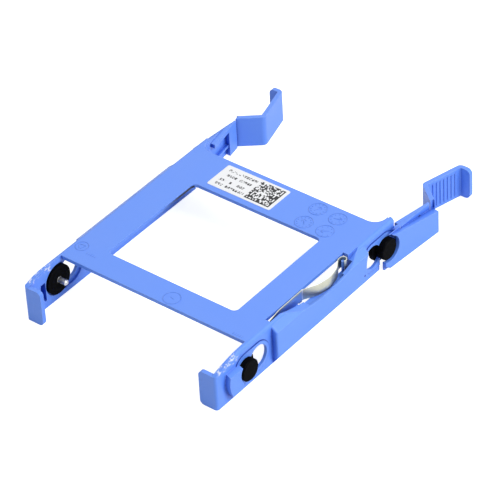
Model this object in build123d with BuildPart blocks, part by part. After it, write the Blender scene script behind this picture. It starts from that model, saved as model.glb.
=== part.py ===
from build123d import *
import math
import os

os.makedirs("parts", exist_ok=True)

# Hard drive caddy. X runs across the drive, Y runs from the front plates to the finger tabs, Z is up.
# The deck is on top, the rails hang down from it and stand on the ground. Sizes are in millimetres.

# the drive that the caddy grips
drive_width = 101.6
hole_spacing = 101.6

# deck and rails
height = 22.0
deck_thickness = 1.8
deck_front = -47.2
deck_rear = 51.0
window_half_width = 36.5
window_front = -33.7
window_rear = 28.3
window_corner = 2.5
wall_thickness = 2.2
drive_side_gap = 1.4
rail_front = -70.6
rail_rear = 59.0
shoulder_radius = 1.8
rear_corner_radius = 6.0
rear_strip_length = 7.0
rear_strip_inset = 0.7
nose_start = -49.0
nose_drop = 3.4
plate_width = 9.6
plate_thickness = 2.2
plate_corner = 2.2
plate_bend = 1.4

# grommets with their drive pins
axis_height = 10.9
flange_radius = 7.4
flange_thickness = 2.0
button_radius = 5.4
button_thickness = 3.1
button_edge = 0.5
neck_radius = 4.2
pin_radius = 1.4
pin_shank_radius = 1.65
pin_reach = 4.7
pin_depth = 5.3
pin_tip = 0.6
fit_clearance = 0.05

# how far pieces of one moulding are drawn into each other
overlap = 0.5

# seats of the grommets in the rails
seat_raise = 0.4
seat_depth = 1.1
seat_margin = 0.7
seat_ring_inset = 0.4
keyhole_radius = 6.0
keyhole_shift = 9.0
keyhole_neck = 7.2

# notch below each rear grommet, where the latch arm is free to bend
notch_front = 3.6
notch_below = 4.6

# raised rib along the middle of each rail, hollow from inside
rib_depth = 3.1
rib_front = -31.6
rib_low = 4.2
rib_drop = 3.8
rib_shoulder_drop = 1.4
rib_wall = 1.9
rib_round = 0.9
rib_rear_radius = 17.0
hollow_rear = 19.0

# raised pad in front of each front grommet
pad_depth = 2.8
pad_radius = 13.6
pad_high = 16.0
pad_slope = 1.0
pad_cut_back = 0.8
pad_button_gap = 0.5
pad_hollow_width = 3.4
pad_hollow_below = 7.0
pad_hollow_above = 3.2

# latch arms, placed from the outer face of the wall and the rear end of the rail
arm_thickness = 2.2
arm_top = 16.6
arm_bottom = 0.3
arm_root_front = 0.4
arm_start_out = 1.2
arm_start_back = 3.6
arm_bend_out = 4.9
arm_bend_back = 24.4
tab_start_in = 7.5
tab_start_back = 34.3
tab_end_in = 1.9
tab_end_back = 55.0
lip_length = 6.0
lip_corner = 2.6
arm_bend_radius = 1.6
grip_count = 7
grip_pitch = 2.2
grip_radius = 0.5
grip_margin = 1.6
panel_front = 48.2
panel_rear = 85.2
panel_proud = 3.2
panel_splay = 4.4
panel_thickness = 2.0
panel_front_top = 17.6
panel_rear_top = 11.9
panel_corner = 3.0
panel_button_gap = 1.5
filler_drop = 0.5
ledge_width = 2.5
ledge_thickness = 2.1
ledge_drop = 0.4
block_length = 7.0
arm_rib_height = 5.2
arm_rib_width = 1.7
arm_rib_thickness = 1.2

# slot and pocket for the grounding spring, only in the right rail
slot_inset = 1.9
slot_front = -30.4
slot_rear = 26.2
slot_width = 2.7
pocket_front = -7.0
pocket_wall = 1.0
curl_pocket_front = 18.4
curl_pocket_wall = 2.2
pocket_depth = 6.8
cove_radius = 5.0
cove_front = -28.4
cove_drop = 0.6
shelf_inset = 0.7
shelf_rear = -8.5
shelf_depth = 6.1
shelf_thickness = 2.0
dip_middle = 5.0
dip_length = 34.0
dip_depth = 5.8

# grounding spring, a strip of thin sheet on edge, placed from the edge of its slot
strip_thickness = 0.35
strip_width = 5.7
strip_drop = 0.3
leg_front = (1.9, -29.4)
leg_bend = (0.8, -22.0)
kink = (0.55, -4.9)
bow_front = (4.4, 2.0)
bow_middle = (5.6, 9.0)
bow_rear = (4.2, 16.0)
bow_bend_radius = 9.0
kink_radius = 0.8
curl_entry_radius = 2.5
curl_lead = 1.8
post_place = (2.4, 23.0)
post_radius = 1.0
post_drop = 1.6
curl_gap = 0.4
curl_angle = 215
foot_width = 2.4
foot_drop = 0.6
foot_setback = 0.4

# label on the deck
label_left = -31.7
label_right = 4.5
label_front = 31.5
label_rear = 48.2
label_thickness = 0.15
label_corner = 1.0

# planes and places that follow from the sizes above
wall_in = drive_width / 2 + drive_side_gap
wall_out = wall_in + wall_thickness
rib_out = wall_out + rib_depth
seat_in = wall_in + seat_depth
seat_out = wall_out + seat_raise
seat_radius = flange_radius + seat_margin
hole_y = hole_spacing / 2
deck_low = height - deck_thickness
nose_height = height - nose_drop
rib_high = height - rib_drop
rib_shoulder = height - rib_shoulder_drop
splay = math.tan(math.radians(panel_splay))
panel_out = wall_out + panel_proud
slot_in = wall_in - slot_inset
pocket_out = rib_out - pocket_wall
pocket_floor = height - pocket_depth
cove_height = height - cove_drop
shelf_top = height - shelf_depth
dip_floor = height - dip_depth
strip_high = height - strip_drop
strip_low = strip_high - strip_width
post_x = slot_in + post_place[0]
post_high = height - post_drop


def box(x0, x1, y0, y1, z0, z1, mode=Mode.ADD):
    """Upright block between two corners, joined to or cut from the part that is being built."""
    with Locations(((x0 + x1) / 2, (y0 + y1) / 2, (z0 + z1) / 2)):
        Box(x1 - x0, y1 - y0, z1 - z0, mode=mode)


def cross_cylinder(y, x0, x1, radius, mode=Mode.ADD):
    """Cylinder along X at the height of the grommets."""
    with Locations(Location(((x0 + x1) / 2, y, axis_height), (0, 90, 0))):
        Cylinder(radius, x1 - x0, mode=mode)


def rib_points(depth, high, shoulder):
    """Corners of a raised rib's section: bevelled below, sloped above, rooted in the wall."""
    root = wall_in + overlap
    side = wall_out + depth
    bevel = rib_low * depth / rib_depth
    return [(root, 0), (wall_out, 0), (side, bevel), (side, high), (wall_out, shoulder), (root, shoulder)]


# Raised pad of one rail, rounded about the front grommet and cut clear of its button.
with BuildPart() as pad:
    with BuildSketch(Plane.XZ.offset(hole_y + pad_radius)):
        with BuildLine():
            Polyline(*rib_points(pad_depth, pad_high - pad_slope, pad_high), close=True)
        make_face()
    extrude(amount=-pad_radius)
    cross_cylinder(-hole_y, wall_in, rib_out, pad_radius, Mode.INTERSECT)
    cross_cylinder(-hole_y, wall_in, rib_out, button_radius + pad_button_gap, Mode.SUBTRACT)
    split(bisect_by=Plane.XZ.offset(hole_y + button_radius - pad_cut_back), keep=Keep.TOP)

# Hollow behind the pad, rounded like the pad itself.
pad_hollow_radius = pad_radius - rib_wall
pad_hollow_front = -hole_y - pad_hollow_radius
pad_hollow_rear = pad_hollow_front + pad_hollow_width
pad_hollow_low = axis_height - pad_hollow_below
pad_hollow_high = axis_height + pad_hollow_above
with BuildPart() as pad_hollow:
    hollow_out = wall_out + pad_depth - rib_wall
    cross_cylinder(-hole_y, wall_in - 1, hollow_out, pad_hollow_radius)
    box(
        wall_in - 1,
        hollow_out,
        pad_hollow_front,
        pad_hollow_rear,
        pad_hollow_low,
        pad_hollow_high,
        Mode.INTERSECT,
    )

# One rail with its front plate, seats, rib, pad and latch arm, drawn on the right side.
with BuildPart() as rail:
    # wall, with a rounded outer shoulder
    with BuildSketch(Plane.XZ.offset(-rail_front)):
        with Locations(((wall_in + wall_out) / 2, height / 2)):
            Rectangle(wall_thickness, height)
        fillet(vertices().sort_by(Axis.Y)[-2:].sort_by(Axis.X)[-1], shoulder_radius)
    extrude(amount=rail_front - rail_rear)

    # front plate, folded inward, with its free corners rounded
    with BuildSketch(Plane.XZ.offset(-rail_front)):
        with Locations((wall_out - plate_width / 2, nose_height / 2)):
            Rectangle(plate_width, nose_height)
        fillet(vertices().group_by(Axis.X)[0], plate_corner)
    extrude(amount=-plate_thickness)

    # the top edge runs down in a curve to the front plate
    with BuildSketch(Plane.YZ.offset(wall_out - plate_width - 1)):
        with BuildLine():
            TangentArc((nose_start, height), (rail_front, nose_height), tangent=(-1, 0))
            Polyline(
                (rail_front, nose_height),
                (rail_front - 1, nose_height),
                (rail_front - 1, height + 1),
                (nose_start, height + 1),
                (nose_start, height),
            )
        make_face()
    extrude(amount=plate_width + 2, mode=Mode.SUBTRACT)
    nose_edges = edges().filter_by(Axis.Z).group_by(Axis.Y)[0]
    fillet(nose_edges.sort_by(Axis.X)[-1], plate_bend)

    # raised rib, ended by an arc around the rear grommet
    with BuildSketch(Plane.XZ.offset(-rib_front)):
        with BuildLine():
            Polyline(*rib_points(rib_depth, rib_high, rib_shoulder), close=True)
        make_face()
    extrude(amount=rib_front - hole_y)
    front_edges = edges().filter_by_position(Axis.Y, rib_front - 0.01, rib_front + 0.01)
    front_edges = front_edges.filter_by_position(Axis.X, wall_out + 0.1, rib_out + 0.1)
    fillet(front_edges.sort_by(Axis.Z)[1:], rib_round)
    cross_cylinder(hole_y, wall_out, rib_out + 1, rib_rear_radius, Mode.SUBTRACT)

    # raised pad in front of the front grommet
    add(pad.part)

    # hollows behind the rib and the pad, so that the moulding keeps an even wall
    box(
        wall_in - 1,
        rib_out - rib_wall,
        rib_front + rib_wall,
        hollow_rear,
        rib_low,
        pocket_floor - rib_wall,
        Mode.SUBTRACT,
    )
    add(pad_hollow.part, mode=Mode.SUBTRACT)

    # seats: raised outside, sunk inside, with a keyhole that opens toward the middle of the rail
    for side in (-1, 1):
        seat_mid = side * (hole_y - keyhole_shift / 2)
        with BuildSketch(Plane.YZ.offset(wall_out - overlap)):
            with Locations((seat_mid, axis_height)):
                SlotCenterToCenter(keyhole_shift, 2 * (seat_radius - seat_ring_inset))
        extrude(amount=seat_raise + overlap)
        with BuildSketch(Plane.YZ.offset(wall_in - overlap)):
            with Locations((seat_mid, axis_height)):
                SlotCenterToCenter(keyhole_shift, 2 * seat_radius)
        extrude(amount=seat_depth + overlap, mode=Mode.SUBTRACT)
        with BuildSketch(Plane.YZ.offset(wall_in - 1)):
            with Locations((side * hole_y, axis_height)):
                Circle(neck_radius + fit_clearance)
            with Locations((side * (hole_y - keyhole_shift), axis_height)):
                Circle(keyhole_radius)
            with Locations((seat_mid, axis_height)):
                Rectangle(keyhole_shift, keyhole_neck)
        extrude(amount=rib_out - wall_in + 2, mode=Mode.SUBTRACT)

    # the wall ends below the rear grommet, where the latch arm is free to bend
    notch_y = hole_y - notch_front
    box(wall_in - 1, rib_out + 1, notch_y, rail_rear + 1, -1, axis_height - notch_below, Mode.SUBTRACT)


# One latch arm, drawn on the right side: web with its ledge, inward bend, finger tab, lip and outer panel.
arm_root = (wall_out, rail_rear - arm_root_front)
arm_start = (wall_out + arm_start_out, rail_rear + arm_start_back)
arm_bend = (wall_out + arm_bend_out, rail_rear + arm_bend_back)
tab_start = (wall_out - tab_start_in, rail_rear + tab_start_back)
tab_end = (wall_out - tab_end_in, rail_rear + tab_end_back)
lip_end = (tab_end[0] + lip_length, tab_end[1])
web_lean = (arm_bend[0] - arm_start[0]) / (arm_bend[1] - arm_start[1])

with BuildPart() as arm:
    # the strip of the arm, bent in plan
    with BuildSketch(Plane.XY.offset(arm_bottom)):
        with BuildLine():
            FilletPolyline(arm_root, arm_start, arm_bend, tab_start, tab_end, lip_end, radius=arm_bend_radius)
            offset(amount=arm_thickness / 2, side=Side.BOTH)
        make_face()
    extrude(amount=arm_top - arm_bottom)

    # the lip ends in a straight edge with rounded corners
    with BuildSketch(Plane.XZ.offset(-tab_end[1] - arm_thickness)):
        with Locations((lip_end[0], (arm_top + arm_bottom) / 2)):
            Rectangle(2 * lip_corner, arm_top - arm_bottom + 2)
        with Locations((lip_end[0] - 2 * lip_corner, (arm_top + arm_bottom) / 2)):
            RectangleRounded(4 * lip_corner, arm_top - arm_bottom, lip_corner, mode=Mode.SUBTRACT)
    extrude(amount=2 * arm_thickness, mode=Mode.SUBTRACT)

    # ledge, lower rib and full-height rear block on the inner face of the straight web
    bands = [
        (arm_start[1], arm_bend[1], ledge_width, arm_top - ledge_drop - ledge_thickness, ledge_thickness),
        (arm_start[1], arm_bend[1], arm_rib_width, arm_rib_height, arm_rib_thickness),
        (arm_bend[1] - block_length, arm_bend[1], ledge_width, arm_bottom, arm_top - ledge_drop - arm_bottom),
    ]
    for front, rear, width, low, tall in bands:
        with BuildSketch(Plane.XY.offset(low)):
            with BuildLine():
                front_x = arm_start[0] + (front - arm_start[1]) * web_lean
                rear_x = arm_start[0] + (rear - arm_start[1]) * web_lean
                reach = width + arm_thickness / 2
                Polyline(
                    (front_x, front),
                    (rear_x, rear),
                    (rear_x - reach, rear),
                    (front_x - reach, front),
                    close=True,
                )
            make_face()
        extrude(amount=tall)

    # outer panel, splayed, with a top edge that falls to the rear
    with BuildSketch(Plane.XY):
        with BuildLine():
            Polyline(
                (panel_out, panel_front),
                (panel_out + (panel_rear - panel_front) * splay, panel_rear),
                (panel_out + (panel_rear - panel_front) * splay - panel_thickness, panel_rear),
                (panel_out - panel_thickness, panel_front),
                close=True,
            )
        make_face()
    extrude(amount=panel_front_top)
    with BuildSketch(Plane.YZ.offset(panel_out - panel_thickness / 2)):
        with BuildLine():
            Polyline(
                (hole_y, panel_front_top),
                (panel_rear + 1, panel_rear_top),
                (panel_rear + 1, panel_front_top + 1),
                (hole_y, panel_front_top + 1),
                close=True,
            )
        make_face()
        with BuildLine():
            Polyline(
                (panel_front - 1, -1),
                (panel_front + panel_corner, 0),
                (panel_front - 1, panel_corner),
                close=True,
            )
        make_face()
    panel_cut = extrude(amount=panel_thickness + panel_proud, mode=Mode.PRIVATE)
    add(panel_cut, mode=Mode.SUBTRACT)

    # the front end is cut clear of the rear grommet's button
    cross_cylinder(hole_y, wall_out, rib_out + 1, button_radius + panel_button_gap, Mode.SUBTRACT)
    box(wall_out, rib_out + 1, panel_front - 1, hole_y, axis_height, panel_front_top + 1, Mode.SUBTRACT)

    # the gap between the web and the panel is filled to below the panel's top
    filler_front = arm_start[1]
    filler_rear = arm_bend[1] - arm_thickness
    panel_mid = panel_out - panel_thickness / 2
    with BuildSketch(Plane.XY.offset(arm_bottom)):
        with BuildLine():
            Polyline(
                arm_start,
                (arm_bend[0] - arm_thickness * web_lean, filler_rear),
                (panel_mid + (filler_rear - panel_front) * splay, filler_rear),
                (panel_mid + (filler_front - panel_front) * splay, filler_front),
                close=True,
            )
        make_face()
    extrude(amount=panel_rear_top - filler_drop - arm_bottom)

    # grip ridges on the outer face of the finger tab
    tab_x = tab_end[0] - tab_start[0]
    tab_y = tab_end[1] - tab_start[1]
    tab = math.hypot(tab_x, tab_y)
    for number in range(grip_count):
        along = tab / 2 + (number - (grip_count - 1) / 2) * grip_pitch
        ridge = (
            tab_start[0] + along * tab_x / tab + arm_thickness / 2 * tab_y / tab,
            tab_start[1] + along * tab_y / tab - arm_thickness / 2 * tab_x / tab,
            (arm_top + arm_bottom) / 2,
        )
        with Locations(ridge):
            Cylinder(grip_radius, arm_top - arm_bottom - 2 * grip_margin)


# Rounded cove on the outer side of the spring's leg, as the space that it takes from the rail.
cove_x = slot_in + slot_width
cove_start = cove_front + cove_radius
cove_run = pocket_front - cove_start
with BuildPart() as cove:
    with Locations((cove_x, cove_start, cove_height)):
        Sphere(cove_radius)
    with Locations(Location((cove_x, cove_start + cove_run / 2, cove_height), (90, 0, 0))):
        Cylinder(cove_radius, cove_run)
    box(slot_in, cove_x + cove_radius, cove_front, pocket_front, 0, height + 1, Mode.INTERSECT)

# The whole moulding: deck, two rails and two latch arms in one piece.
with BuildPart() as bracket:
    with BuildSketch(Plane.XY.offset(deck_low)):
        with Locations((0, (deck_front + deck_rear) / 2)):
            Rectangle(2 * (wall_in + overlap), deck_rear - deck_front)
        for side in (-1, 1):
            strip_mid = (side * wall_in, deck_rear + (rear_strip_length - overlap) / 2)
            with Locations(strip_mid):
                Rectangle(2 * rear_strip_inset, rear_strip_length + overlap)
        inner_corners = vertices().filter_by_position(Axis.Y, deck_rear - 0.1, deck_rear + 0.1)
        fillet(inner_corners.filter_by_position(Axis.X, rear_strip_inset - wall_in, wall_in - rear_strip_inset), rear_corner_radius)
    extrude(amount=deck_thickness)
    with BuildSketch(Plane.XY.offset(deck_low - 1)):
        with Locations((0, (window_front + window_rear) / 2)):
            RectangleRounded(2 * window_half_width, window_rear - window_front, window_corner)
    extrude(amount=deck_thickness + 2, mode=Mode.SUBTRACT)
    for half in (rail, arm):
        add(half.part)
        mirror(half.part, about=Plane.YZ)

    # narrow shelf under the spring's leg, on the inner face of the right wall
    shelf_x = slot_in + shelf_inset
    box(shelf_x, wall_in + overlap, slot_front, shelf_rear, shelf_top - shelf_thickness, shelf_top)

    # slot for the spring's leg and pocket for its bow and curl, in the right rail
    box(slot_in, cove_x, slot_front, shelf_rear, shelf_top, height + 1, Mode.SUBTRACT)
    box(slot_in, cove_x, shelf_rear, slot_rear, pocket_floor, height + 1, Mode.SUBTRACT)
    box(slot_in, pocket_out, pocket_front, curl_pocket_front, pocket_floor, height + 1, Mode.SUBTRACT)
    curl_pocket_out = rib_out - curl_pocket_wall
    box(slot_in, curl_pocket_out, pocket_front, slot_rear, pocket_floor, height + 1, Mode.SUBTRACT)

    # rounded cove beside the leg, and a shallow dip in the top of the rib
    add(cove.part, mode=Mode.SUBTRACT)
    dip_rise = rib_high - dip_floor
    dip_radius = (dip_length**2 / 4 + dip_rise**2) / (2 * dip_rise)
    dip_width = rib_out + 1 - cove_x
    with Locations(Location((cove_x + dip_width / 2, dip_middle, dip_floor + dip_radius), (0, 90, 0))):
        Cylinder(dip_radius, dip_width, mode=Mode.SUBTRACT)

    # post inside the spring's curl
    with Locations((post_x, post_place[1], (pocket_floor + post_high) / 2)):
        Cylinder(post_radius, post_high - pocket_floor)
bracket.part.label = "bracket"
export_step(bracket.part, "parts/bracket.step")


# Grounding spring: straight leg, kink with a foot, bow toward the case and a curl around the post.
curl_radius = post_radius + curl_gap + strip_thickness / 2
curl_start = (post_x - curl_radius, post_place[1])
with BuildPart() as ground_spring:
    with BuildSketch(Plane.XY.offset(strip_low)):
        with BuildLine():
            bends = [(slot_in + x, y) for x, y in (leg_front, leg_bend, kink, bow_front, bow_middle, bow_rear)]
            FilletPolyline(
                *bends,
                (curl_start[0], curl_start[1] - curl_lead),
                curl_start,
                radius=[bow_bend_radius, kink_radius] + 3 * [bow_bend_radius] + [curl_entry_radius],
            )
            CenterArc((post_x, post_place[1]), curl_radius, 180, -curl_angle)
            offset(amount=strip_thickness / 2, side=Side.BOTH)
        make_face()
    extrude(amount=strip_high - strip_low)
    foot_x = slot_in + kink[0]
    box(
        foot_x - strip_thickness / 2,
        foot_x + strip_thickness / 2,
        kink[1] - foot_width,
        kink[1] - foot_setback,
        strip_low - foot_drop,
        strip_low + 1,
    )
ground_spring.part.label = "ground_spring"
export_step(ground_spring.part, "parts/ground_spring.step")


# Grommets and drive pins, one of each at the four corners.
for end, hole_place in (("front", -hole_y), ("rear", hole_y)):
    for hand, side in (("left", -1), ("right", 1)):
        turn_axis = Axis((0, hole_place, axis_height), (1, 0, 0))
        button_face = seat_out + button_thickness
        flange_face = seat_in - flange_thickness
        pin_end = flange_face + pin_depth

        with BuildPart() as grommet:
            with BuildSketch(Plane.XZ.offset(-hole_place)):
                with BuildLine():
                    bore = pin_shank_radius + fit_clearance
                    profile = [
                        (flange_face, bore),
                        (flange_face, flange_radius),
                        (seat_in, flange_radius),
                        (seat_in, neck_radius),
                        (seat_out, neck_radius),
                        (seat_out, button_radius),
                        (button_face - button_edge, button_radius),
                        (button_face, button_radius - button_edge),
                        (button_face, 0),
                        (pin_end + fit_clearance, 0),
                        (pin_end + fit_clearance, bore),
                    ]
                    Polyline(*[(side * x, axis_height + r) for x, r in profile], close=True)
                make_face()
            revolve(axis=turn_axis)
        grommet.part.label = f"grommet_{end}_{hand}"
        export_step(grommet.part, f"parts/grommet_{end}_{hand}.step")

        with BuildPart() as pin:
            with BuildSketch(Plane.XZ.offset(-hole_place)):
                with BuildLine():
                    tip = flange_face - pin_reach
                    profile = [
                        (tip, 0),
                        (tip, pin_radius - pin_tip),
                        (tip + pin_tip, pin_radius),
                        (flange_face, pin_radius),
                        (flange_face, pin_shank_radius),
                        (pin_end, pin_shank_radius),
                        (pin_end, 0),
                    ]
                    Polyline(*[(side * x, axis_height + r) for x, r in profile], close=True)
                make_face()
            revolve(axis=turn_axis)
        pin.part.label = f"pin_{end}_{hand}"
        export_step(pin.part, f"parts/pin_{end}_{hand}.step")


# Paper label on the rear strip of the deck.
with BuildPart() as label:
    with BuildSketch(Plane.XY.offset(height)):
        with Locations(((label_left + label_right) / 2, (label_front + label_rear) / 2)):
            RectangleRounded(label_right - label_left, label_rear - label_front, label_corner)
    extrude(amount=label_thickness)
label.part.label = "label"
export_step(label.part, "parts/label.step")
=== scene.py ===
import bpy
import math
import numpy as np
from mathutils import Matrix, Vector


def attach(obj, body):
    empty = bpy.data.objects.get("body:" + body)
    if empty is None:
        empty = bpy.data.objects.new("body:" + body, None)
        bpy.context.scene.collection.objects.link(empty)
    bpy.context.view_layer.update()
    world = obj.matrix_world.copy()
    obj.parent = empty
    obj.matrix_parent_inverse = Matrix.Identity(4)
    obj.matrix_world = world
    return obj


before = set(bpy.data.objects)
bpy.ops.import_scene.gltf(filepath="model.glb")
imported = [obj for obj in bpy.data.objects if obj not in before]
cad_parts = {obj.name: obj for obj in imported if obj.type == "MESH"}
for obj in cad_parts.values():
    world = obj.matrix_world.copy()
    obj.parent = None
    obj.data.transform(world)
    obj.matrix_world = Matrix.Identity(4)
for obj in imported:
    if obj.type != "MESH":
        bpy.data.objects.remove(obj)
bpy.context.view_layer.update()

# Hard drive caddy: blue moulded bracket, rubber grommets, steel pins, grounding spring and a paper label.
# The frame is the caddy's own: X across the drive, Y toward the finger tabs, Z up, in metres,
# and a size written in millimetres is multiplied by MM.
MM = 0.001

# places and sizes on the caddy itself that the looks follow
DECK_TOP = 22.0 * MM
AXIS_HEIGHT = 10.9 * MM
HOLE_Y = 50.8 * MM
WALL_OUT = 54.4 * MM
SEAT_SHIFT = 9.0 * MM
SEAT_RADIUS = 7.7 * MM
FLANGE_FACE = 51.3 * MM
STEP_RADIUS = 5.3 * MM
PIN_RADIUS = 1.4 * MM
TURNED_PITCH = 0.12 * MM
LABEL_LEFT = -31.7 * MM
LABEL_FRONT = 31.5 * MM

# print on the label: its rows, each with its middle and right end, how far apart their signs stand and
# how big a sign's strokes are; then the square of cells
PRINT_LEFT = LABEL_LEFT + 2.9 * MM
PRINT_HEIGHT = 1.5 * MM
PRINT_ROWS = (
    (LABEL_FRONT + 13.7 * MM, -12.6 * MM),
    (LABEL_FRONT + 10.1 * MM, -13.6 * MM),
    (LABEL_FRONT + 6.1 * MM, -14.6 * MM),
    (LABEL_FRONT + 2.8 * MM, -12.6 * MM),
)
PRINT_PITCH = 1.45 * MM
PRINT_STROKE = (0.46 * MM, 0.5 * MM)
CODE_CELL = 0.70 * MM
CODE_COUNT = 20
CODE_MIDDLE = (-4.2 * MM, 39.9 * MM)

# the plastic's blues, from one slow patch to the next: the moulding, and its raised marks, whose blues are
# darker as painted shade of their relief
DECK_BLUES = ((0.104, 0.262, 0.86, 1), (0.120, 0.282, 0.90, 1))
MARK_SHADED_BLUES = ((0.074, 0.204, 0.71, 1), (0.088, 0.224, 0.77, 1))

# the same plastic where light and shade are painted on it: painted shade in recesses, a painted highlight
# along edges, pale rubbed patches that also stand for painted glints, fine lines of painted shade along the
# seats' steps, the sink mark, scuffs, and painted deep shade
RECESS_SHADE_BLUE = (0.006, 0.065, 0.50, 1)
EDGE_HIGHLIGHT_BLUE = (0.30, 0.47, 0.97, 1)
PALE_PATCH_BLUE = (0.40, 0.55, 0.97, 1)
LINE_BLUE = (0.012, 0.060, 0.42, 1)
SCUFF_WHITE = (0.78, 0.83, 0.98, 1)
SHADE_BLUE = (0.004, 0.008, 0.03, 1)

# the plastic's satin: its slow patches from and to, and the roughness that they give; then its grain,
# as a bump's depth and strength
SATIN = (0.2, 0.8, 0.36, 0.46)
PLASTIC_GRAIN = (0.02 * MM, 0.35)
PLASTIC_IOR = 1.49

# rubber, steel and paper, from one patch to the next, and the colours that lie on them, among them a
# painted reflection on the spring's leg and a painted highlight along its fold
RUBBER_BLACKS = ((0.0015, 0.0015, 0.002, 1), (0.004, 0.004, 0.005, 1))
RUBBER_SHINE = 0.012
DUST_GREY = (0.03, 0.03, 0.035, 1)
PIN_GREYS = ((0.62, 0.62, 0.61, 1), (0.80, 0.80, 0.78, 1))
SPRING_GREYS = ((0.50, 0.50, 0.40, 1), (0.66, 0.66, 0.53, 1))
SPRING_LEG_REFLECTION_BLUE = (0.40, 0.60, 0.88, 1)
SPRING_FOLD_HIGHLIGHT_GREY = (0.86, 0.86, 0.82, 1)
PAPER_WHITES = ((0.80, 0.81, 0.84, 1), (0.87, 0.88, 0.90, 1))
INK_BLACK = (0.012, 0.012, 0.014, 1)

# small sink mark on the right rail's outer side
DIMPLE = (57.5 * MM, 32.3 * MM, 7.8 * MM)

# rubbed streaks on the curved tops of the front rails: their middle along Y, and the rails' inner side
SCUFF_MIDDLE = -61.5 * MM
SCUFF_INNER = 50.5 * MM

# window in the deck: its left and rear sides, and how deep the top of its edge is light
WINDOW_LEFT = -36.5 * MM
WINDOW_REAR = 28.3 * MM
WINDOW_LIGHT_EDGE = 0.5 * MM

# where the grounding spring folds from its straight leg into its bow
SPRING_FOLD = -4.9 * MM

# the picture: a square frame, and the view that the camera takes of it
PICTURE = 500.0
FOCAL_PIXELS = 3040.18
VIEW_AZIMUTH = math.radians(40.044)
VIEW_ELEVATION = math.radians(38.411)
VIEW_ROLL = math.radians(-3.341)
VIEW_DISTANCE = 1374.23 * MM
ORIGIN_PIXEL = (220.497, 280.708)
SENSOR_WIDTH = 36.0

# raised mould marks on the deck: how wide and high their lines are
MARK_WIDTH = 0.42 * MM
MARK_HEIGHT = 0.15 * MM

# strokes inside a ring, from and to, in shares of its radius
ARROW = (((-0.50, 0.0), (0.42, 0.0)), ((0.50, 0.04), (0.16, 0.30)), ((0.50, -0.04), (0.16, -0.30)))
TRIANGLE = (((-0.42, -0.50), (-0.42, 0.50)), ((-0.32, 0.56), (0.58, 0.06)), ((-0.32, -0.56), (0.58, -0.06)))
DASH = (((-0.30, 0.0), (0.30, 0.0)),)

# ticks round a ring, from and to, in shares of its radius
TICK = (0.68, 0.86)

# each mark: centre and ring radius in millimetres, tick count, turn in degrees, strokes
MOULD_MARKS = (
    (22.2, 45.0, 4.3, 12, 70, ARROW),
    (34.0, 44.2, 4.2, 10, 20, ARROW),
    (22.7, 33.8, 4.3, 12, 130, ARROW),
    (34.5, 33.9, 4.2, 8, 215, ARROW),
    (7.8, -42.2, 4.0, 0, 165, DASH),
    (-48.7, -36.8, 3.1, 0, 40, TRIANGLE),
)

# rows of short raised dashes near the front corners, in millimetres: left end, front end and count,
# then how far apart the dashes are and how long
MARK_ROWS = ((-43.5, -40.2, 5), (44.6, -46.3, 5))
ROW_PITCH = 1.2
ROW_DASH = 1.5

# stage: the floor's radius and how far it lies below the caddy, its glow and the world's light,
# and the share of white that reflections see
FLOOR_RADIUS = 3.0
FLOOR_DROP = 0.02 * MM
FLOOR_GLOW = 0.80
WORLD_LIGHT = 0.44
GLOSSY_SHARE = 0.6


# camera
def add_camera():
    """Camera whose picture shows the frame's origin at ORIGIN_PIXEL, VIEW_DISTANCE in front of it."""
    az, el, roll = VIEW_AZIMUTH, VIEW_ELEVATION, VIEW_ROLL
    back = Vector((math.sin(az) * math.cos(el), -math.cos(az) * math.cos(el), math.sin(el)))
    level = Vector((math.cos(az), math.sin(az), 0))
    above = back.cross(level)
    right = level * math.cos(roll) + above * math.sin(roll)
    up = above * math.cos(roll) - level * math.sin(roll)
    per_pixel = VIEW_DISTANCE / FOCAL_PIXELS
    across = (ORIGIN_PIXEL[0] - PICTURE / 2) * per_pixel
    down = (ORIGIN_PIXEL[1] - PICTURE / 2) * per_pixel
    place = back * VIEW_DISTANCE - right * across + up * down
    data = bpy.data.cameras.new("camera")
    data.sensor_width = SENSOR_WIDTH
    data.lens = SENSOR_WIDTH * FOCAL_PIXELS / PICTURE
    data.clip_start = 0.05
    data.clip_end = 20.0
    camera = bpy.data.objects.new("camera", data)
    turn = Matrix((right, up, back)).transposed().to_4x4()
    camera.matrix_world = Matrix.Translation(place) @ turn
    bpy.context.collection.objects.link(camera)
    bpy.context.scene.camera = camera


# shader tools
def new_material(name):
    """Material with only a Principled shader and an output; returns it, its tree and the shader."""
    material = bpy.data.materials.new(name)
    material.use_nodes = True
    tree = material.node_tree
    tree.nodes.clear()
    shader = tree.nodes.new("ShaderNodeBsdfPrincipled")
    output = tree.nodes.new("ShaderNodeOutputMaterial")
    tree.links.new(shader.outputs["BSDF"], output.inputs["Surface"])
    return material, tree, shader


def new_group(name, inputs, outputs):
    """Shader group with the named sockets; inputs give each name's type and default."""
    group = bpy.data.node_groups.new(name, "ShaderNodeTree")
    for label, kind, value in inputs:
        socket = group.interface.new_socket(label, in_out="INPUT", socket_type="NodeSocket" + kind)
        if value is not None:
            socket.default_value = value
    for label, kind in outputs:
        group.interface.new_socket(label, in_out="OUTPUT", socket_type="NodeSocket" + kind)
    source = group.nodes.new("NodeGroupInput")
    target = group.nodes.new("NodeGroupOutput")
    return group, source, target


def use_group(tree, group, **values):
    """Puts a group into a tree. Values are numbers, or sockets to link; a name's underscores are spaces."""
    node = tree.nodes.new("ShaderNodeGroup")
    node.node_tree = group
    for label, value in values.items():
        feed(tree, node.inputs[label.replace("_", " ")], value)
    return node


def feed(tree, socket, value):
    """Links a socket, or sets its number or colour."""
    if isinstance(value, bpy.types.NodeSocket):
        tree.links.new(value, socket)
    else:
        socket.default_value = value


def math_node(tree, kind, first, second=0.0, third=None, clamp=False):
    """Math node on numbers or sockets; returns its output."""
    node = tree.nodes.new("ShaderNodeMath")
    node.operation = kind
    node.use_clamp = clamp
    feed(tree, node.inputs[0], first)
    feed(tree, node.inputs[1], second)
    if third is not None:
        feed(tree, node.inputs[2], third)
    return node.outputs[0]


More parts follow.
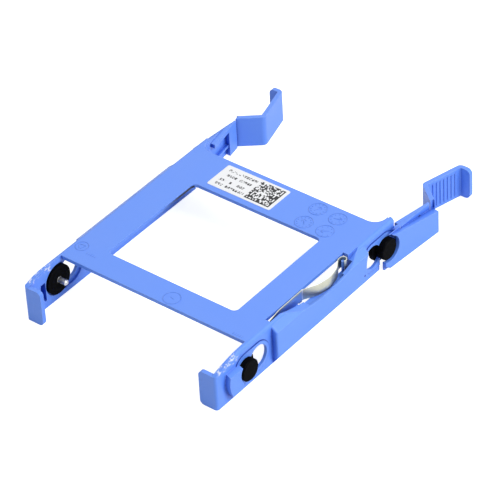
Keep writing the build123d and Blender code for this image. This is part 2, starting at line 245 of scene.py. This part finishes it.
def vector_node(tree, kind, first, second):
    """Vector Math node; returns its vector, or its number where the operation gives one."""
    node = tree.nodes.new("ShaderNodeVectorMath")
    node.operation = kind
    feed(tree, node.inputs[0], first)
    feed(tree, node.inputs[1], second)
    return node.outputs["Value"] if kind in ("DOT_PRODUCT", "LENGTH") else node.outputs["Vector"]


def ramp(tree, value, low, high, start=0.0, end=1.0):
    """Smooth step of a value from low to high, giving start to end."""
    node = tree.nodes.new("ShaderNodeMapRange")
    node.interpolation_type = "SMOOTHSTEP"
    feed(tree, node.inputs["Value"], value)
    for label, number in (("From Min", low), ("From Max", high), ("To Min", start), ("To Max", end)):
        node.inputs[label].default_value = number
    return node.outputs["Result"]


def noise(tree, vector, scale, detail=2.0, roughness=0.5):
    """Noise texture's value, where scale is features per metre."""
    node = tree.nodes.new("ShaderNodeTexNoise")
    feed(tree, node.inputs["Vector"], vector)
    node.inputs["Scale"].default_value = scale
    node.inputs["Detail"].default_value = detail
    node.inputs["Roughness"].default_value = roughness
    return node.outputs["Fac"]


def mix_colour(tree, factor, first, second):
    """Colour between two, by a factor."""
    node = tree.nodes.new("ShaderNodeMix")
    node.data_type = "RGBA"
    feed(tree, node.inputs["Factor"], factor)
    feed(tree, node.inputs["A"], first)
    feed(tree, node.inputs["B"], second)
    return node.outputs["Result"]


def axes(tree, place):
    """The three numbers of a place."""
    node = tree.nodes.new("ShaderNodeSeparateXYZ")
    feed(tree, node.inputs[0], place)
    return node.outputs["X"], node.outputs["Y"], node.outputs["Z"]


def all_of(tree, *masks):
    """Product of masks."""
    result = masks[0]
    for mask in masks[1:]:
        result = math_node(tree, "MULTIPLY", result, mask)
    return result


def any_of(tree, *masks):
    """Largest of masks."""
    result = masks[0]
    for mask in masks[1:]:
        result = math_node(tree, "MAXIMUM", result, mask)
    return result


def band(tree, value, middle, half, soft):
    """1 where a value is within half of the middle, falling to 0 over the soft width."""
    away = math_node(tree, "ABSOLUTE", math_node(tree, "SUBTRACT", value, middle))
    return ramp(tree, away, half + soft, half)


def object_place(tree):
    """The surface point in the piece's own coordinates, which are the frame's."""
    return tree.nodes.new("ShaderNodeTexCoord").outputs["Object"]


def bump(tree, height, distance, strength=1.0, normal=None):
    """Bump node on a height from 0 to 1, with its depth in metres."""
    node = tree.nodes.new("ShaderNodeBump")
    node.inputs["Distance"].default_value = distance
    node.inputs["Strength"].default_value = strength
    feed(tree, node.inputs["Height"], height)
    if normal is not None:
        tree.links.new(normal, node.inputs["Normal"])
    return node.outputs["Normal"]


def soft_edges(tree, radius):
    """Normal that rounds each sharp edge over a small radius."""
    node = tree.nodes.new("ShaderNodeBevel")
    node.samples = 6
    node.inputs["Radius"].default_value = radius
    return node.outputs["Normal"]


def recess_shade_mask(tree, reach):
    """0 on open faces, rising to 1 in narrow recesses of the same piece, where the blue plastic gets
    painted shade.
    """
    node = tree.nodes.new("ShaderNodeAmbientOcclusion")
    node.samples = 8
    node.only_local = True
    node.inputs["Distance"].default_value = reach
    return ramp(tree, node.outputs["AO"], 0.90, 0.42)


def rub_patches(tree, place):
    """Mask of the irregular patches in which a high spot is rubbed."""
    return ramp(tree, noise(tree, place, 420.0, 4.0, 0.65), 0.42, 0.68)


# shared effects
def edge_group():
    """Edges: how near a point is to a sharp edge, which the blue plastic uses for a painted highlight, and
    the same broken up by noise as wear, which on the blue plastic also stands for painted glints.
    """
    group, source, target = new_group(
        "Edge wear and highlight",
        [("Place", "Vector", None), ("Radius", "Float", 0.4 * MM), ("Amount", "Float", 0.6)],
        [("Wear", "Float"), ("Edge", "Float")],
    )
    bevel = group.nodes.new("ShaderNodeBevel")
    bevel.samples = 6
    group.links.new(source.outputs["Radius"], bevel.inputs["Radius"])
    flat = group.nodes.new("ShaderNodeNewGeometry").outputs["Normal"]
    along = vector_node(group, "DOT_PRODUCT", bevel.outputs["Normal"], flat)
    edge = ramp(group, along, 0.998, 0.90)
    both = math_node(group, "MULTIPLY", edge, rub_patches(group, source.outputs["Place"]))
    wear = math_node(group, "MULTIPLY", both, source.outputs["Amount"], clamp=True)
    group.links.new(wear, target.inputs["Wear"])
    group.links.new(edge, target.inputs["Edge"])
    return group


def grain_group():
    """Fine surface grain with slow waves, as a height from 0 to 1."""
    group, source, target = new_group(
        "Surface grain",
        [("Place", "Vector", None), ("Fine", "Float", 0.5)],
        [("Height", "Float"), ("Slow", "Float")],
    )
    place = source.outputs["Place"]
    fine = noise(group, place, 3200.0, 3.0, 0.6)
    middle = noise(group, place, 900.0, 2.0, 0.5)
    slow = noise(group, place, 55.0, 2.0, 0.5)
    grain = math_node(group, "MULTIPLY", fine, source.outputs["Fine"])
    height = math_node(group, "MULTIPLY_ADD", middle, 0.3, grain)
    group.links.new(height, target.inputs["Height"])
    group.links.new(slow, target.inputs["Slow"])
    return group


def axis_group():
    """Distance of a point from the axis of the nearest grommet: the root of the squares across and up."""
    group, source, target = new_group("Axis distance", [("Place", "Vector", None)], [("Distance", "Float")])
    _, y, z = axes(group, source.outputs["Place"])
    aside = math_node(group, "SUBTRACT", math_node(group, "ABSOLUTE", y), HOLE_Y)
    up = math_node(group, "SUBTRACT", z, AXIS_HEIGHT)
    squares = [math_node(group, "POWER", part, 2.0) for part in (aside, up)]
    away = math_node(group, "SQRT", math_node(group, "ADD", *squares))
    group.links.new(away, target.inputs["Distance"])
    return group


EDGE_WEAR_AND_HIGHLIGHT = edge_group()
SURFACE_GRAIN = grain_group()
AXIS_DISTANCE = axis_group()


# raised mould marks
def ring_surface(centre, radius):
    """Closed ring of oval section, half sunk in the deck.

    With a round the ring and b round its section, a point is radius + half the width times cos b away from
    the centre in the direction a, and the height times sin b above the deck.
    """
    a, b = np.meshgrid(np.linspace(0, 2 * np.pi, 96, endpoint=False),
                       np.linspace(0, 2 * np.pi, 8, endpoint=False), indexing="ij")
    reach = radius + MARK_WIDTH / 2 * np.cos(b)
    points = np.stack([centre[0] + reach * np.cos(a), centre[1] + reach * np.sin(a),
                       DECK_TOP + MARK_HEIGHT * np.sin(b)], -1)
    index = np.arange(a.size).reshape(a.shape)
    ahead = np.roll(index, -1, 0)
    quads = np.stack([index, ahead, np.roll(ahead, -1, 1), np.roll(index, -1, 1)], -1)
    return points.reshape(-1, 3), [tuple(q) for q in quads.reshape(-1, 4).tolist()]


def stroke_surface(start, end):
    """Closed straight stroke of oval section with blunt round ends, half sunk in the deck.

    With t from 0 to 1 along the stroke and b round its section, the section's size is sin(pi t) to the
    power 0.4, and the places along it crowd toward both ends as (1 - cos(pi t)) / 2.
    """
    start, end = np.array(start), np.array(end)
    along = end - start
    across = np.array([-along[1], along[0]]) / np.hypot(*along)
    t, b = np.meshgrid(np.linspace(0, 1, 11)[1:-1],
                       np.linspace(0, 2 * np.pi, 8, endpoint=False), indexing="ij")
    size = np.sin(np.pi * t) ** 0.4
    place = (1 - np.cos(np.pi * t)) / 2
    aside = MARK_WIDTH / 2 * size * np.cos(b)
    points = np.stack([start[0] + along[0] * place + across[0] * aside,
                       start[1] + along[1] * place + across[1] * aside,
                       DECK_TOP + MARK_HEIGHT * size * np.sin(b)], -1).reshape(-1, 3)
    index = np.arange(t.size).reshape(t.shape)
    beside = np.roll(index, -1, 1)
    quads = np.stack([index[:-1], beside[:-1], beside[1:], index[1:]], -1).reshape(-1, 4)
    tips = np.array([[*start, DECK_TOP], [*end, DECK_TOP]])
    first, last = t.size, t.size + 1
    caps = [(first, int(j), int(i)) for i, j in zip(index[0], beside[0])]
    caps += [(last, int(i), int(j)) for i, j in zip(index[-1], beside[-1])]
    return np.vstack([points, tips]), [tuple(q) for q in quads.tolist()] + caps


def mark_strokes():
    """Ends of every stroke in the deck's mould marks: ticks and signs in the rings, and the rows of dashes.

    A tick lies on a ray from the ring's centre; a sign's ends are turned about the centre.
    """
    strokes = []
    for x, y, radius, ticks, turn, shape in MOULD_MARKS:
        for number in range(ticks):
            angle = math.radians(turn + 360 * (number + 0.5) / ticks)
            ray = np.array([math.cos(angle), math.sin(angle)])
            strokes.append([(np.array([x, y]) + ray * radius * share) * MM for share in TICK])
        cos, sin = math.cos(math.radians(turn)), math.sin(math.radians(turn))
        for ends in shape:
            strokes.append([((x + radius * (u * cos - v * sin)) * MM,
                             (y + radius * (u * sin + v * cos)) * MM) for u, v in ends])
    for left, front, count in MARK_ROWS:
        for number in range(count):
            x = left + ROW_PITCH * number
            strokes.append([(x * MM, front * MM), (x * MM, (front + ROW_DASH) * MM)])
    return strokes


def add_mould_marks(material):
    """All the raised marks as one mesh that rides with the bracket."""
    surfaces = [ring_surface((x * MM, y * MM), radius * MM) for x, y, radius, *_ in MOULD_MARKS]
    surfaces += [stroke_surface(*ends) for ends in mark_strokes()]
    points, faces = [], []
    for own_points, own_faces in surfaces:
        base = sum(len(group) for group in points)
        points.append(own_points)
        faces += [tuple(base + i for i in face) for face in own_faces]
    mesh = bpy.data.meshes.new("mould_marks")
    mesh.from_pydata(np.vstack(points).tolist(), [], faces)
    mesh.shade_smooth()
    mesh.materials.append(material)
    marks = bpy.data.objects.new("mould_marks", mesh)
    bpy.context.collection.objects.link(marks)
    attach(marks, "root")


# materials
def seat_step_shade(tree, place):
    """Painted shade: a fine dark line round each grommet seat along its step, the outline of a slot shape,
    on the rails' outer faces only.
    """
    x, y, z = axes(tree, place)
    from_mid = math_node(tree, "SUBTRACT", math_node(tree, "ABSOLUTE", y), HOLE_Y - SEAT_SHIFT / 2)
    beyond = math_node(tree, "SUBTRACT", math_node(tree, "ABSOLUTE", from_mid), SEAT_SHIFT / 2)
    beyond = math_node(tree, "MAXIMUM", beyond, 0.0)
    up = math_node(tree, "SUBTRACT", z, AXIS_HEIGHT)
    squares = [math_node(tree, "POWER", part, 2.0) for part in (beyond, up)]
    away = math_node(tree, "SQRT", math_node(tree, "ADD", *squares))
    line = band(tree, away, SEAT_RADIUS + 0.1 * MM, 0.12 * MM, 0.12 * MM)
    outer = band(tree, math_node(tree, "ABSOLUTE", x), WALL_OUT + 0.2 * MM, 0.3 * MM, 0.1 * MM)
    return all_of(tree, line, outer)


def window_shade(tree, place):
    """Dark band low on the window's left edge, deepest toward its rear corner."""
    x, y, z = axes(tree, place)
    side = band(tree, x, WINDOW_LEFT, 0.6 * MM, 0.4 * MM)
    low = ramp(tree, z, DECK_TOP - WINDOW_LIGHT_EDGE, DECK_TOP - WINDOW_LIGHT_EDGE - 0.2 * MM)
    toward = ramp(tree, y, WINDOW_REAR - 27.0 * MM, WINDOW_REAR - 9.0 * MM)
    return all_of(tree, side, low, toward)


def nose_scuffs(tree, place):
    """Pale rubbed streaks on the curved tops of the front rails."""
    x, y, z = axes(tree, place)
    area = all_of(tree, band(tree, y, SCUFF_MIDDLE, 6.0 * MM, 2.0 * MM),
                  ramp(tree, z, DECK_TOP - 4.4 * MM, DECK_TOP - 3.0 * MM),
                  ramp(tree, math_node(tree, "ABSOLUTE", x), SCUFF_INNER, SCUFF_INNER + 1.0 * MM))
    streaks = noise(tree, vector_node(tree, "MULTIPLY", place, (1.0, 0.55, 1.0)), 900.0, 4.0, 0.7)
    patches = noise(tree, place, 160.0, 2.0)
    return all_of(tree, area, ramp(tree, streaks, 0.50, 0.60), ramp(tree, patches, 0.42, 0.52))


def blue_plastic():
    """Satin moulded plastic with grain, painted shade in recesses, fine lines of painted shade along the
    seats' steps, a dark sink mark, a painted highlight and rubbed patches with painted glints on its edges,
    scuffs, and painted shade low on the window's edge.
    """
    material, tree, shader = new_material("blue moulded plastic")
    place = object_place(tree)
    grain = use_group(tree, SURFACE_GRAIN, Place=place, Fine=0.6)
    wear = use_group(tree, EDGE_WEAR_AND_HIGHLIGHT, Place=place, Radius=0.35 * MM, Amount=0.5)
    step_shade = seat_step_shade(tree, place)
    scuffs = nose_scuffs(tree, place)
    from_dimple = vector_node(tree, "SUBTRACT", place, DIMPLE)
    dimple = ramp(tree, vector_node(tree, "LENGTH", from_dimple, (0, 0, 0)), 0.75 * MM, 0.45 * MM)
    base = mix_colour(tree, grain.outputs["Slow"], *DECK_BLUES)
    # painted shade: narrow recesses are darkened toward a deep blue
    deep = math_node(tree, "MULTIPLY", recess_shade_mask(tree, 4.0 * MM), 0.9)
    recessed = mix_colour(tree, deep, base, RECESS_SHADE_BLUE)
    # painted highlight: a pale line along every sharp edge
    rim = math_node(tree, "MULTIPLY", wear.outputs["Edge"], 0.32)
    edged = mix_colour(tree, rim, recessed, EDGE_HIGHLIGHT_BLUE)
    # pale patches along edges: rubbing, and also painted glints on the rounded corners
    worn_and_glinting = mix_colour(tree, wear.outputs["Wear"], edged, PALE_PATCH_BLUE)
    # painted shade along each seat's step, and the sink mark's dark colour
    lined = mix_colour(tree, any_of(tree, step_shade, dimple), worn_and_glinting, LINE_BLUE)
    scuffed = mix_colour(tree, math_node(tree, "MULTIPLY", scuffs, 0.85), lined, SCUFF_WHITE)
    shaded = mix_colour(tree, window_shade(tree, place), scuffed, SHADE_BLUE)
    feed(tree, shader.inputs["Base Color"], shaded)
    smooth = ramp(tree, grain.outputs["Slow"], *SATIN)
    feed(tree, shader.inputs["Roughness"], math_node(tree, "MULTIPLY_ADD", scuffs, 0.2, smooth))
    shader.inputs["IOR"].default_value = PLASTIC_IOR
    rounded = soft_edges(tree, 0.25 * MM)
    sunk = math_node(tree, "SUBTRACT", 1.0, any_of(tree, step_shade, dimple))
    sunk_normal = bump(tree, sunk, 0.12 * MM, 1.0, rounded)
    feed(tree, shader.inputs["Normal"], bump(tree, grain.outputs["Height"], *PLASTIC_GRAIN, sunk_normal))
    return material


def mark_plastic():
    """The same plastic on the raised mould marks: darker, as painted shade of their relief, with their tops
    lightened in patches.
    """
    material, tree, shader = new_material("raised blue plastic")
    place = object_place(tree)
    grain = use_group(tree, SURFACE_GRAIN, Place=place, Fine=0.6)
    # painted shade: the marks' base blues are darker than the deck's
    base = mix_colour(tree, grain.outputs["Slow"], *MARK_SHADED_BLUES)
    _, _, z = axes(tree, place)
    high = ramp(tree, z, DECK_TOP + 0.6 * MARK_HEIGHT, DECK_TOP + MARK_HEIGHT)
    rubbed = all_of(tree, high, rub_patches(tree, place))
    tops = mix_colour(tree, math_node(tree, "MULTIPLY", rubbed, 0.4), base, PALE_PATCH_BLUE)
    feed(tree, shader.inputs["Base Color"], tops)
    feed(tree, shader.inputs["Roughness"], ramp(tree, grain.outputs["Slow"], *SATIN))
    shader.inputs["IOR"].default_value = PLASTIC_IOR
    feed(tree, shader.inputs["Normal"], bump(tree, grain.outputs["Height"], *PLASTIC_GRAIN))
    return material


def black_rubber():
    """Matt moulded rubber with a fine grain and a dusty bloom on its edges."""
    material, tree, shader = new_material("black rubber")
    place = object_place(tree)
    grain = use_group(tree, SURFACE_GRAIN, Place=place, Fine=0.7)
    wear = use_group(tree, EDGE_WEAR_AND_HIGHLIGHT, Place=place, Radius=0.5 * MM, Amount=0.5)
    base = mix_colour(tree, grain.outputs["Slow"], *RUBBER_BLACKS)
    dusty = mix_colour(tree, wear.outputs["Wear"], base, DUST_GREY)
    feed(tree, shader.inputs["Base Color"], dusty)
    feed(tree, shader.inputs["Roughness"], ramp(tree, grain.outputs["Height"], 0.2, 0.7, 0.42, 0.58))
    shader.inputs["Specular IOR Level"].default_value = RUBBER_SHINE
    x, _, _ = axes(tree, place)
    inner = band(tree, math_node(tree, "ABSOLUTE", x), FLANGE_FACE, 0.05 * MM, 0.05 * MM)
    away = use_group(tree, AXIS_DISTANCE, Place=place).outputs["Distance"]
    raised = all_of(tree, inner, ramp(tree, away, STEP_RADIUS + 0.2 * MM, STEP_RADIUS - 0.2 * MM))
    stepped = bump(tree, raised, 0.25 * MM, 1.0)
    feed(tree, shader.inputs["Normal"], bump(tree, grain.outputs["Height"], 0.03 * MM, 0.5, stepped))
    return material


def pin_steel():
    """Turned steel: rings round the pin's own axis, which runs along X, and a dark shoulder."""
    material, tree, shader = new_material("turned steel")
    shader.inputs["Metallic"].default_value = 1.0
    place = object_place(tree)
    x, _, _ = axes(tree, place)
    rings = math_node(tree, "SINE", math_node(tree, "MULTIPLY", x, 2 * math.pi / TURNED_PITCH))
    patch = noise(tree, place, 900.0, 3.0)
    bright = mix_colour(tree, patch, *PIN_GREYS)
    away = use_group(tree, AXIS_DISTANCE, Place=place).outputs["Distance"]
    shoulder = ramp(tree, away, PIN_RADIUS + 0.02 * MM, PIN_RADIUS + 0.1 * MM)
    feed(tree, shader.inputs["Base Color"], mix_colour(tree, shoulder, bright, DUST_GREY))
    feed(tree, shader.inputs["Roughness"], ramp(tree, patch, 0.3, 0.7, 0.36, 0.50))
    height = math_node(tree, "MULTIPLY_ADD", rings, 0.4, 0.5)
    feed(tree, shader.inputs["Normal"], bump(tree, height, 0.01 * MM, 0.4))
    return material


def spring_steel():
    """Rolled spring strip: fine lines along it, rubbed patches, a painted reflection of the blue slot on
    its leg, and a painted highlight along its fold.
    """
    material, tree, shader = new_material("spring steel")
    shader.inputs["Metallic"].default_value = 1.0
    place = object_place(tree)
    stretched = vector_node(tree, "MULTIPLY", place, (600.0, 120.0, 9000.0))
    lines = noise(tree, stretched, 1.0, 3.0, 0.6)
    patch = noise(tree, place, 350.0, 3.0)
    _, y, z = axes(tree, place)
    bare = mix_colour(tree, patch, *SPRING_GREYS)
    # painted reflection: the leg below the fold takes on the blue of the slot beside it
    leg = all_of(tree, ramp(tree, y, SPRING_FOLD - 0.3 * MM, SPRING_FOLD - 0.9 * MM),
                 ramp(tree, z, DECK_TOP - 0.4 * MM, DECK_TOP - 2.0 * MM))
    leg_reflection_painted = mix_colour(tree, math_node(tree, "MULTIPLY", leg, 0.8), bare, SPRING_LEG_REFLECTION_BLUE)
    # painted highlight: a pale band along the fold
    fold = band(tree, y, SPRING_FOLD, 0.15 * MM, 0.2 * MM)
    feed(tree, shader.inputs["Base Color"], mix_colour(tree, fold, leg_reflection_painted, SPRING_FOLD_HIGHLIGHT_GREY))
    feed(tree, shader.inputs["Roughness"], ramp(tree, lines, 0.3, 0.7, 0.30, 0.44))
    feed(tree, shader.inputs["Normal"], bump(tree, lines, 0.01 * MM, 0.4))
    return material


def label_print(tree, place):
    """Generic print, as a mask: four rows of marks that are no letters, and a square of random cells.

    Rows and cells are found by snapping the place to a grid and giving each grid square a random number.
    """
    x, y, _ = axes(tree, place)

    def cells(across, up, seed):
        spot = tree.nodes.new("ShaderNodeCombineXYZ")
        for socket, value, size in (("X", x, across), ("Y", y, up)):
            steps = math_node(tree, "DIVIDE", value, size)
            feed(tree, spot.inputs[socket], math_node(tree, "FLOOR", steps))
        spot.inputs["Z"].default_value = seed
        chance = tree.nodes.new("ShaderNodeTexWhiteNoise")
        tree.links.new(spot.outputs[0], chance.inputs["Vector"])
        return chance.outputs["Value"]

    masks = []
    for middle, right in PRINT_ROWS:
        centre = (PRINT_LEFT + right) / 2
        area = all_of(tree, band(tree, y, middle, PRINT_HEIGHT / 2, 0.05 * MM),
                      band(tree, x, centre, (right - PRINT_LEFT) / 2, 0.05 * MM))
        stroke = ramp(tree, cells(*PRINT_STROKE, middle / MM), 0.27, 0.31)
        word = ramp(tree, cells(PRINT_PITCH, 9.0 * MM, 1.0 + middle / MM), 0.10, 0.12)
        within = math_node(tree, "FRACT", math_node(tree, "DIVIDE", x, PRINT_PITCH))
        sign = band(tree, within, 0.5, 0.36, 0.06)
        masks.append(all_of(tree, area, stroke, word, sign))
    middle_x, middle_y = CODE_MIDDLE
    half = CODE_COUNT * CODE_CELL / 2
    square = all_of(tree, band(tree, x, middle_x, half, 0.03 * MM),
                    band(tree, y, middle_y, half, 0.03 * MM))
    side = band(tree, x, middle_x + half - CODE_CELL / 2, CODE_CELL / 2, 0.03 * MM)
    foot = band(tree, y, middle_y - half + CODE_CELL / 2, CODE_CELL / 2, 0.03 * MM)
    chance = ramp(tree, cells(CODE_CELL, CODE_CELL, 7.0), 0.40, 0.42)
    masks.append(all_of(tree, square, any_of(tree, chance, side, foot)))
    return any_of(tree, *masks)


def label_paper():
    """White coated paper with a faint fibre and a generic black print."""
    material, tree, shader = new_material("label paper")
    place = object_place(tree)
    fibre = noise(tree, vector_node(tree, "MULTIPLY", place, (1.0, 2.2, 1.0)), 1600.0, 4.0, 0.7)
    paper = mix_colour(tree, fibre, *PAPER_WHITES)
    ink = label_print(tree, place)
    feed(tree, shader.inputs["Base Color"], mix_colour(tree, ink, paper, INK_BLACK))
    feed(tree, shader.inputs["Roughness"], ramp(tree, fibre, 0.3, 0.7, 0.5, 0.62))
    feed(tree, shader.inputs["Normal"], bump(tree, fibre, 0.01 * MM, 0.3))
    return material


# stage
def seen_white(tree):
    """1 for what the camera or glass sees, and GLOSSY_SHARE for reflections; otherwise 0."""
    rays = tree.nodes.new("ShaderNodeLightPath")
    glossy = math_node(tree, "MULTIPLY", rays.outputs["Is Glossy Ray"], GLOSSY_SHARE)
    return any_of(tree, rays.outputs["Is Camera Ray"], glossy, rays.outputs["Is Transmission Ray"])


def stage_white():
    """White floor that glows enough to look full white, and still takes the shadow."""
    material, tree, shader = new_material("white stage")
    shader.inputs["Base Color"].default_value = (0.70, 0.70, 0.70, 1)
    shader.inputs["Roughness"].default_value = 0.9
    glow = math_node(tree, "MULTIPLY", seen_white(tree), FLOOR_GLOW)
    feed(tree, shader.inputs["Emission Strength"], glow)
    shader.inputs["Emission Color"].default_value = (1, 1, 1, 1)
    return material


def add_stage():
    """Round floor under the caddy: one face, whose rim is the radius times cosine and sine of an angle."""
    angle = np.linspace(0, 2 * math.pi, 96, endpoint=False)
    rim = np.stack([FLOOR_RADIUS * np.cos(angle), FLOOR_RADIUS * np.sin(angle),
                    np.full_like(angle, -FLOOR_DROP)], 1)
    mesh = bpy.data.meshes.new("floor")
    mesh.from_pydata(rim.tolist(), [], [tuple(range(len(rim)))])
    floor = bpy.data.objects.new("floor", mesh)
    mesh.materials.append(stage_white())
    bpy.context.collection.objects.link(floor)


def add_world():
    """Even surround that lights the caddy softly and looks full white to the camera."""
    world = bpy.data.worlds.new("surround")
    world.use_nodes = True
    tree = world.node_tree
    tree.nodes.clear()
    light = tree.nodes.new("ShaderNodeBackground")
    light.inputs["Color"].default_value = (1, 1, 1, 1)
    feed(tree, light.inputs["Strength"], ramp(tree, seen_white(tree), 0.0, 1.0, WORLD_LIGHT, 1.0))
    output = tree.nodes.new("ShaderNodeOutputWorld")
    tree.links.new(light.outputs[0], output.inputs["Surface"])
    bpy.context.scene.world = world


def add_lamp(name, place, size, power):
    """Square soft lamp that faces the caddy."""
    data = bpy.data.lights.new(name, "AREA")
    data.shape = "SQUARE"
    data.size = size
    data.energy = power
    lamp = bpy.data.objects.new(name, data)
    lamp.location = place
    lamp.rotation_euler = (-Vector(place)).to_track_quat("-Z", "Y").to_euler()
    bpy.context.collection.objects.link(lamp)


add_camera()
add_stage()
add_world()
add_lamp("key", (1.25, 0.30, 1.15), 1.0, 25.0)
add_lamp("back", (-0.85, 1.0, 1.1), 1.3, 5.0)
add_lamp("front", (-0.2, -1.5, 0.6), 1.0, 2.0)

# materials of the CAD pieces
finish = {
    "bracket": blue_plastic(),
    "ground_spring": spring_steel(),
    "label": label_paper(),
}
rubber = black_rubber()
steel = pin_steel()
add_mould_marks(mark_plastic())
for name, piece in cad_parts.items():
    chosen = finish.get(name) or (rubber if name.startswith("grommet") else steel)
    for place in piece.material_slots:
        place.material = chosen

bpy.context.scene.view_settings.view_transform = "Standard"
